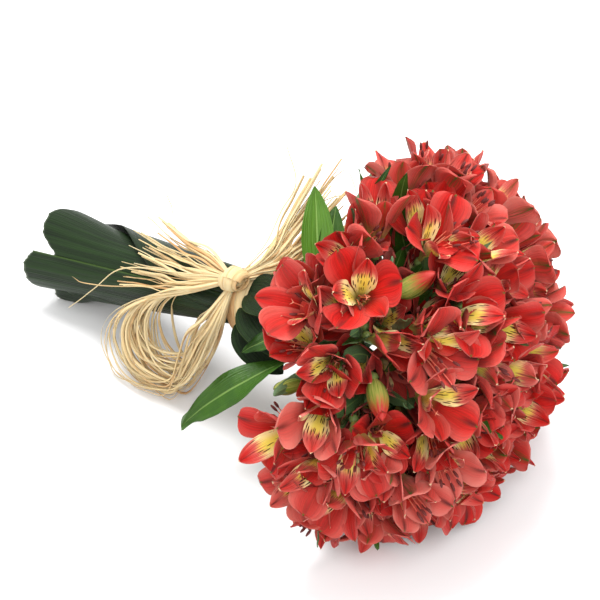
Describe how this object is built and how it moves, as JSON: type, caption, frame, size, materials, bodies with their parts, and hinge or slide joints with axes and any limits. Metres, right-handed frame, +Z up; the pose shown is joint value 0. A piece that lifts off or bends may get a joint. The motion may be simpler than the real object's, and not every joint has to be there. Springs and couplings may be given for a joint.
{
  "type": "hand-tied alstroemeria bouquet",
  "caption": "Hand-tied bouquet of red alstroemerias, its stems rolled in broad leaves and tied with raffia, lying on its side.",
  "frame": {"origin": "centre of the bouquet's footprint on the table it lies on", "axes": "+X along the bouquet from the cut stem ends to the blooms, +Z up"},
  "size_m": [0.4984, 0.3022, 0.2709],
  "materials": {
    "petal_red": "satin coral-red petals, cream-yellow and dark-flecked on the two upper inner tepals",
    "bud_green": "satin yellow-green bud, reddening to the tip",
    "stem_green": "matt fresh green stem",
    "wrap_leaf_green": "satin dark green leaf with fine lengthwise veins",
    "foliage_green": "satin mid-green leaf",
    "raffia_straw": "dry matt straw-coloured fibre ribbons"
  },
  "bodies": {
    "root": {"bloom_ray_01": "petal_red", "bloom_ray_02": "petal_red", "bloom_ray_03": "petal_red", "bloom_ray_04": "petal_red", "bloom_ray_05": "petal_red", "bloom_ray_06": "petal_red", "bloom_ray_07": "petal_red", "bloom_ray_08": "petal_red", "bloom_ray_09": "petal_red", "bloom_ray_10": "petal_red", "bloom_ray_11": "petal_red", "bloom_ray_12": "petal_red", "bloom_ray_13": "petal_red", "bloom_ray_14": "petal_red", "bloom_ray_15": "petal_red", "bloom_ray_16": "petal_red", "bloom_ray_17": "petal_red", "bloom_ray_18": "petal_red", "bloom_ray_19": "petal_red", "bloom_ray_20": "petal_red", "bloom_ray_21": "petal_red", "bloom_ray_22": "petal_red", "bloom_ray_23": "petal_red", "bloom_ray_24": "petal_red", "bloom_ray_25": "petal_red", "bloom_ray_26": "petal_red", "bloom_ray_31": "petal_red", "bloom_ray_32": "petal_red", "bloom_ray_33": "petal_red", "bloom_ray_34": "petal_red", "bloom_ray_35": "petal_red", "bloom_ray_36": "petal_red", "bloom_ray_37": "petal_red", "bloom_ray_38": "petal_red", "bloom_ray_39": "petal_red", "bloom_ray_40": "petal_red", "bud_ray_27": "bud_green", "bud_ray_28": "bud_green", "bud_ray_29": "bud_green", "bud_ray_30": "bud_green", "foliage_1": "foliage_green", "foliage_2": "foliage_green", "foliage_3": "foliage_green", "foliage_4": "foliage_green", "foliage_5": "foliage_green", "raffia_band": "raffia_straw", "raffia_bow": "raffia_straw", "raffia_knot": "raffia_straw", "raffia_loops": "raffia_straw", "raffia_tails": "raffia_straw", "stem_1": "stem_green", "stem_2": "stem_green", "stem_3": "stem_green", "stem_4": "stem_green", "stem_5": "stem_green", "stem_6": "stem_green", "stem_7": "stem_green", "stem_8": "stem_green", "wrap_leaf_inner": "wrap_leaf_green", "wrap_leaf_outer": "wrap_leaf_green"}
  },
  "joints": []
}
